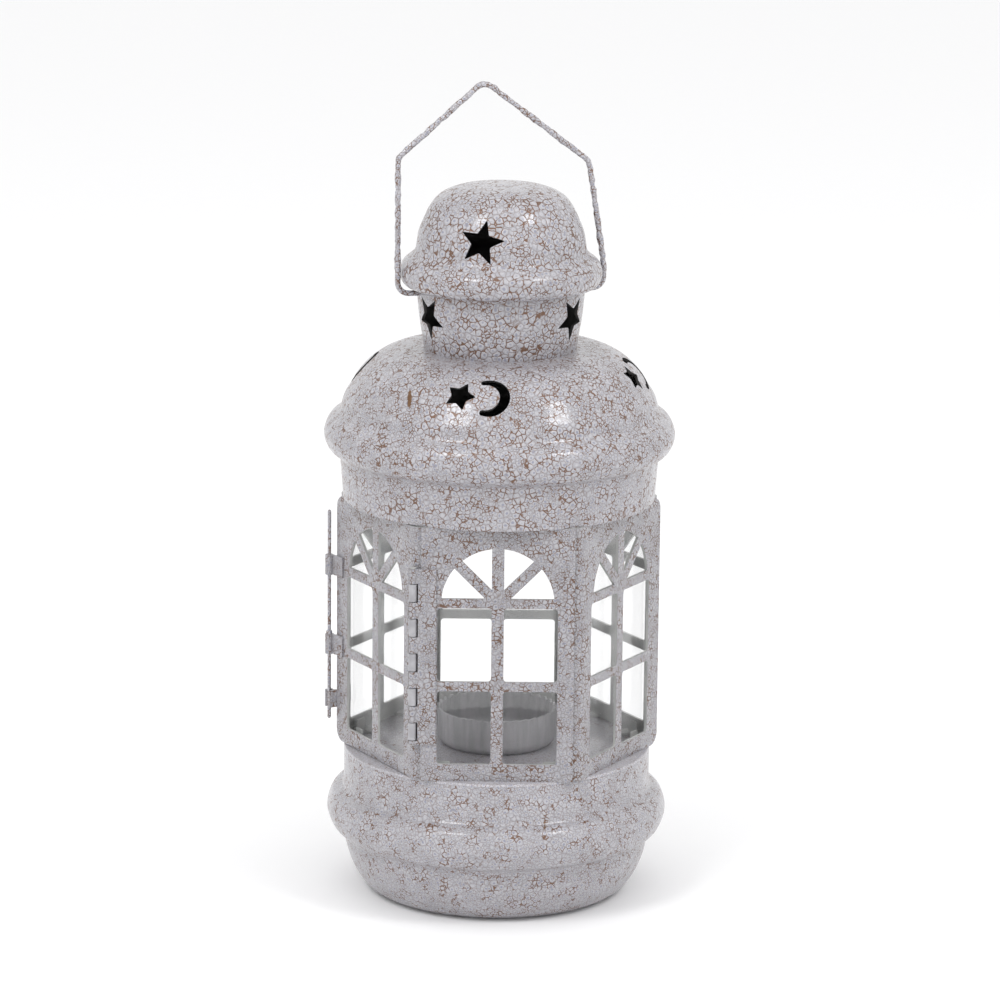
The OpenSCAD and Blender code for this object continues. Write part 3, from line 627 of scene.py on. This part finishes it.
capShape = dict(bead=0.0056, flare=0.0012, starRadius=0.0058, starWaist=0.53, moonRadius=0.0073,
                pairs=4, firstAngle=-16.3, moonAngle=12.0, tilt=42.0, cutBelowTop=0.0083,
                cutInside=0.0072)
low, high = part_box("big_cap")
bead, flare = capShape["bead"], capShape["flare"]
bottom, height = low.z, high.z - low.z
rimR = high.x - bead - flare
wide = rimR + flare
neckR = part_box("small_cap")[1].x - 0.0088
capOutline = [(rimR, 0), (rimR + 0.00035, 0.006), (wide - 0.0003, 0.0125)] + smoothLine([
    (wide, 0.015), (wide + 0.0006, 0.016), (wide + 0.7 * bead, 0.0184), (wide + bead, 0.0232),
    (wide + 0.68 * bead, 0.0284), (wide + 0.0004, 0.031)], 8) + smoothLine([
        (wide - 0.0005, height - 0.0218), (wide - 0.0016, height - 0.0178),
        (wide - 0.0039, height - 0.014), (wide - 0.0065, height - 0.0098),
        (wide - 0.0104, height - 0.0056), (wide - 0.0152, height - 0.0024),
        (wide - 0.0206, height - 0.0006), (neckR + 0.0016, height)], 6) + [
            (neckR - 0.0014, height), (neckR - 0.004, height)]
capOutline = [(r, z + bottom) for r, z in capOutline]
# the inside faces of the big cap are painted near-black as painted shade
bigCapShell = turnedShell("bigCapShell", capOutline, shellSizes["wall"], shellSizes["segments"],
                          (capPaint, sootPaint))
cutHeight, cutRadius = high.z - capShape["cutBelowTop"], rimR - capShape["cutInside"]
star = rounded(starOutline(capShape["starRadius"], capShape["starWaist"]), 0.10)
starCutter = wallCutter("starCutter", star, cutRadius, cutHeight, capShape["tilt"], spin=-90)
cutRing(bigCapShell, starCutter, capShape["pairs"], capShape["firstAngle"], edgePaint)
moonCutter = wallCutter("moonCutter", crescentOutline(capShape["moonRadius"]), cutRadius, cutHeight,
                        capShape["tilt"])
cutRing(bigCapShell, moonCutter, capShape["pairs"], capShape["firstAngle"] + capShape["moonAngle"],
        edgePaint)
softShading(bigCapShell, 50)
finishPiece(bigCapShell, bodyOf["big_cap"], "crackle_paint", "big_cap")

smallCapShape = dict(bead=0.006, flare=0.0026, neckTop=0.0367, starRadius=0.0085, starWaist=0.42,
                     stars=3, domeAngle=-14.0, domeBelowTop=0.0162, domeTilt=22.0, domeSpin=-9.0,
                     neckAngle=180.0, neckHeight=0.0133)
low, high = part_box("small_cap")
bead = smallCapShape["bead"]
height = high.z - low.z
wide = neckR + smallCapShape["flare"]
neckTop = height - smallCapShape["neckTop"]
smallOutline = smoothLine([(neckR, 0), (neckR + 0.001, 0.006), (neckR + 0.0019, 0.012),
                           (wide, height - 0.0396), (wide, neckTop)], 3)[:-1] + smoothLine([
    (wide, neckTop), (wide + 0.001, neckTop + 0.0002), (wide + 0.8 * bead, height - 0.0354),
    (wide + bead + 0.0002, height - 0.0316), (wide + 0.86 * bead, height - 0.0278),
    (wide + 0.25 * bead, height - 0.0246), (wide + 0.0006, height - 0.0228)], 8) + smoothLine([
        (wide + 0.0003, height - 0.021), (wide - 0.0004, height - 0.017),
        (wide - 0.0019, height - 0.013), (wide - 0.0042, height - 0.0082),
        (wide - 0.0074, height - 0.0042), (wide - 0.0124, height - 0.0017),
        (wide - 0.018, height - 0.0006), (0, height)], 6)
smallOutline = [(r, z + low.z) for r, z in smallOutline]
# the inside faces of the small cap are painted near-black as painted shade
smallCapShell = turnedShell("smallCapShell", smallOutline, shellSizes["wall"], shellSizes["segments"],
                            (smallCapPaint, sootPaint))
star = rounded(starOutline(smallCapShape["starRadius"], smallCapShape["starWaist"]), 0.06)
starCutter = wallCutter("domeStarCutter", star, neckR + 0.0014, high.z - smallCapShape["domeBelowTop"],
                        smallCapShape["domeTilt"], spin=smallCapShape["domeSpin"])
cutRing(smallCapShell, starCutter, smallCapShape["stars"], smallCapShape["domeAngle"], edgePaint)
starCutter = wallCutter("neckStarCutter", star, neckR + 0.0018, low.z + smallCapShape["neckHeight"],
                        0, spin=180)
cutRing(smallCapShell, starCutter, smallCapShape["stars"], smallCapShape["neckAngle"], edgePaint)

# bail

bailShape = dict(wire=0.002, turn=12.0, bend=0.004, lean=0.0067, leftShoulder=0.0256,
                 rightShoulder=0.0284, rightIn=0.0058, rightStraight=0.0085, apexOver=0.00125,
                 pivotBelowNeck=0.0016, endIn=0.0022, headRadius=0.0017, headLength=0.0008,
                 headGap=0.0002, hole=0.00105, step=0.0005, lumpSize=0.0023, lumpHeight=0.0012,
                 cleanOver=0.003, seed=3.0)
pivotZ = low.z + neckTop - bailShape["pivotBelowNeck"]
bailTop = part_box("bail_handle")[1].z - bailShape["wire"] / 2
bailHeight = bailTop - pivotZ
bailR = wide + smallCapShape["bead"] + 0.0002 + bailShape["wire"] / 2 + 0.00035
turn = Matrix.Translation((0, 0, pivotZ)) @ Matrix.Rotation(math.radians(bailShape["turn"]), 4, "Z")

drill = bmesh.new()
bmesh.ops.create_cone(drill, cap_ends=True, segments=40, radius1=bailShape["hole"],
                      radius2=bailShape["hole"], depth=4 * neckR,
                      matrix=turn @ Matrix.Rotation(math.radians(90), 4, "Y"))
drillMesh = bpy.data.meshes.new("pivotDrill")
drill.to_mesh(drillMesh)
drill.free()
drillMesh.materials.append(edgePaint)
pivotDrill = newObject("pivotDrill", drillMesh)
cutRing(smallCapShell, pivotDrill, 1, 0.0, edgePaint)
softShading(smallCapShell, 50)
finishPiece(smallCapShell, bodyOf["small_cap"], "crackle_paint", "small_cap")

endX = neckR - bailShape["endIn"]
apexZ = bailHeight - 0.0002 + bailShape["apexOver"]
corners = [(-endX, 0), (-bailR, 0), (-bailR, bailHeight - bailShape["leftShoulder"]),
           (-bailShape["lean"], apexZ),
           (bailR - bailShape["rightIn"], bailHeight - bailShape["rightShoulder"]),
           (bailR, bailShape["rightStraight"]), (bailR, 0), (endX, 0)]
lineMesh = bpy.data.meshes.new("bailWire")
lineMesh.from_pydata([turn @ Vector((x, 0, z)) for x, z in corners],
                     [(i, i + 1) for i in range(len(corners) - 1)], [])
bailWire = newObject("bailWire", lineMesh)
useTree(bailWire, lumpyWire, {
    "Wire Radius": bailShape["wire"] / 2, "Bend Radius": bailShape["bend"],
    "Step": bailShape["step"], "Lump Size": bailShape["lumpSize"],
    "Lump Height": bailShape["lumpHeight"], "Clean Below": pivotZ + bailShape["cleanOver"],
    "Seed": bailShape["seed"], "Material": wirePaint})
settle(bailWire)
heads = bmesh.new()
heads.from_mesh(bailWire.data)
for side in (-1, 1):
    place = (turn @ Matrix.Translation((side * (endX + bailShape["headGap"]), 0, 0))
             @ Matrix.Rotation(math.radians(-90 * side), 4, "Y"))
    bmesh.ops.create_cone(heads, cap_ends=True, segments=32, radius1=bailShape["headRadius"],
                          radius2=bailShape["headRadius"] * 0.8, depth=bailShape["headLength"],
                          matrix=place)
heads.to_mesh(bailWire.data)
heads.free()
softShading(bailWire, 50)
finishPiece(bailWire, bodyOf["bail_handle"], "crackle_paint", "bail_handle")
print("shells and bail made")

# cup

cupShape = dict(wall=0.0008, corner=0.004, holeRadius=0.00155, wrinkles=34, wrinkleDepth=0.0006,
                segments=288, flatBelow=0.004, flatInside=0.005, seed=5.0)
low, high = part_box("tealight_cup")
cupR, wall, corner = high.x - 0.0001, cupShape["wall"], cupShape["corner"]
cupTop = high.z - low.z
cupOutline = [(cupShape["holeRadius"], 0)] + arcPoints((cupR - corner, corner), corner, -90, 0, 12)
cupOutline += [(cupR, corner + (cupTop - corner) * i / 10) for i in range(1, 11)]
cupOutline = [(r, z + low.z) for r, z in cupOutline]
cupShell = turnedShell("cupShell", cupOutline, wall, cupShape["segments"], (cupPaint, cupPaint))
useTree(cupShell, drawnWrinkles, {
    "Count": cupShape["wrinkles"], "Depth": cupShape["wrinkleDepth"],
    "Floor Height": low.z + cupShape["flatBelow"], "Rim Height": high.z,
    "Least Radius": cupR - cupShape["flatInside"], "Seed": cupShape["seed"], "Material": cupPaint})
settle(cupShell)
softShading(cupShell, 60)
finishPiece(cupShell, bodyOf["tealight_cup"], "cup_paint", "tealight_cup")

# panels, hinge, latch and plates: merged copies of the exact parts with softened edges

panelTurns = dict(front_panel=0, right_panel=60, rear_right_panel=120, rear_panel=180,
                  rear_left_panel=240, door_panel=300)
softEdges = dict(merge=1e-6, flat=0.5, sharp=40, panel=0.00032, small=0.00012, tiny=0.00006)


def softCopy(node, name, materials, pick, edge, slotName):
    work = bmesh.new()
    work.from_mesh(nodes[node].data)
    bmesh.ops.remove_doubles(work, verts=work.verts, dist=softEdges["merge"])
    bmesh.ops.dissolve_limit(work, angle_limit=math.radians(softEdges["flat"]),
                             verts=work.verts, edges=work.edges)
    for face in work.faces:
        face.material_index = pick(face)
    mesh = bpy.data.meshes.new(name)
    for material in materials:
        mesh.materials.append(material)
    work.to_mesh(mesh)
    work.free()
    piece = newObject(name, mesh)
    bevel = piece.modifiers.new("softEdge", "BEVEL")
    bevel.width, bevel.segments, bevel.limit_method = edge, 1, "ANGLE"
    bevel.angle_limit = math.radians(softEdges["sharp"])
    # the softened edges take the last material; on the panels that is dark painted shade
    bevel.material = len(materials) - 1
    settle(piece)
    softShading(piece)
    return finishPiece(piece, bodyOf[node], slotName, node)


# outer faces crackled, inner faces plain, upright outer side faces painted near-black as painted shade of
# the gaps beside them
def panelFace(face, outwards, sideways, halfWidth):
    if face.normal.dot(outwards) > 0.3:
        return 0
    atSide = abs(face.calc_center_median().dot(sideways)) > halfWidth - 0.0003
    return 2 if atSide and abs(face.normal.dot(sideways)) > 0.9 else 1


# each panel sheet: outer paint, inner paint, painted gap shade on the upright side faces and painted edge
# shade on the softened edges
for node, angle in panelTurns.items():
    outwards = Vector(around(angle, 1, 0))
    sideways = Vector(around(angle + 90, 1, 0))
    halfWidth = max(abs(v.co.dot(sideways)) for v in nodes[node].data.vertices)
    name = node.split("_panel")[0].replace("_", " ").title().replace(" ", "")
    softCopy(node, name[0].lower() + name[1:] + "PanelSheet", (panelPaint, innerPaint, gapPaint, rimPaint),
             lambda face: panelFace(face, outwards, sideways, halfWidth), softEdges["panel"],
             "crackle_paint")

for node, name, materials, edge, slotName in (
        ("deck_plate", "deckDisc", (deckPaint,), softEdges["tiny"], "inner_paint"),
        ("cap_plate", "capDisc", (innerPaint,), softEdges["tiny"], "inner_paint"),
        ("cup_rivet", "cupRivetHead", (cupPaint,), softEdges["small"], "cup_paint"),
        ("door_hinge_leaf", "doorHingeKnuckles", (edgePaint,), softEdges["tiny"], "inner_paint"),
        ("hinge_pin", "hingePinWire", (innerPaint,), softEdges["tiny"], "inner_paint"),
        ("latch_rod", "latchRodWire", (wirePaint,), softEdges["tiny"], "crackle_paint"),
        ("latch_straps", "latchStrapSheets", (panelPaint, edgePaint), softEdges["small"], "crackle_paint"),
        ("latch_keeper", "latchKeeperSheet", (panelPaint, edgePaint), softEdges["tiny"], "crackle_paint"),
        ("glass_tongues", "glassTongueStrips", (innerPaint,), softEdges["tiny"], "inner_paint"),
        ("door_glass_tongues", "doorGlassTongueStrips", (innerPaint,), softEdges["tiny"], "inner_paint")):
    softCopy(node, name, materials, lambda face: 0, edge, slotName)

# the hinge plate's sideways faces take the near-black painted shade of the gaps around its slots
softCopy("hinge_leaf", "hingeLeafSheet", (panelPaint, gapPaint, edgePaint),
         lambda face: 1 if abs(face.normal.x) > 0.9 else 0, softEdges["small"], "crackle_paint")

for node in nodes:
    if node.endswith("_glass"):
        nodes[node].data.materials.clear()
        nodes[node].data.materials.append(glassClear)
print("panels, hinge, latch and glass made")

# floor, light and camera

studio = dict(floorHalf=9.0, floorColor=(0.93, 0.93, 0.935, 1), world=1.0, distance=1.5,
              boxes=((-38, 47, 0.42, 5.6), (54, 47, 0.36, 4.6), (0, 80, 0.9, 1.2)))


def studioFloor():
    half = studio["floorHalf"]
    mesh = bpy.data.meshes.new("studioFloor")
    mesh.from_pydata([(-half, -half, 0), (half, -half, 0), (half, half, 0), (-half, half, 0)],
                     [], [(0, 1, 2, 3)])
    material, tree, shader, coords = newMaterial("floorPaper")
    grain = noise(tree, coords, 90.0, 3.0)
    color = studio["floorColor"]
    darker = tuple(c * 0.99 for c in color[:3]) + (1,)
    feed(tree, shader.inputs["Base Color"], blendColors(tree, grain, darker, color))
    shader.inputs["Roughness"].default_value = 0.9
    mesh.materials.append(material)
    floor = newObject("studioFloor", mesh)


def softbox(angle, elevation, size, power):
    aim = Vector((0, 0, (cadLow.z + cadHigh.z) / 2))
    rise = math.radians(elevation)
    away = Vector(around(angle, math.cos(rise), math.sin(rise)))
    data = bpy.data.lights.new("softbox", "AREA")
    data.shape, data.size, data.energy = "SQUARE", size, power
    lamp = bpy.data.objects.new("softbox", data)
    lamp.location = aim + away * studio["distance"]
    lamp.rotation_euler = away.to_track_quat("Z", "Y").to_euler()
    bpy.context.scene.collection.objects.link(lamp)


studioFloor()
for angle, elevation, size, power in studio["boxes"]:
    softbox(angle, elevation, size, power)
world = bpy.data.worlds.new("studioAir")
world.use_nodes = True
world.node_tree.nodes["Background"].inputs["Color"].default_value = (1, 1, 1, 1)
world.node_tree.nodes["Background"].inputs["Strength"].default_value = studio["world"]
bpy.context.scene.world = world
bpy.context.scene.view_settings.view_transform = "Standard"

view = dict(aim=(0.0004, 0.0, 0.1435), elevation=13.4, distance=1.795, lens=180.0, roll=0.55,
            sensor=36.0, near=0.05, far=60.0)
aim = Vector(view["aim"])
rise = math.radians(view["elevation"])
away = Vector((0, -math.cos(rise), math.sin(rise)))
lensData = bpy.data.cameras.new("studioCamera")
lensData.lens, lensData.sensor_width = view["lens"], view["sensor"]
lensData.clip_start, lensData.clip_end = view["near"], view["far"]
camera = bpy.data.objects.new("studioCamera", lensData)
camera.location = aim + away * view["distance"]
roll = Matrix.Rotation(math.radians(view["roll"]), 4, "Z")
look = away.to_track_quat("Z", "Y").to_matrix().to_4x4() @ roll
camera.rotation_euler = look.to_euler()
bpy.context.scene.collection.objects.link(camera)
bpy.context.scene.camera = camera
print("studio made")
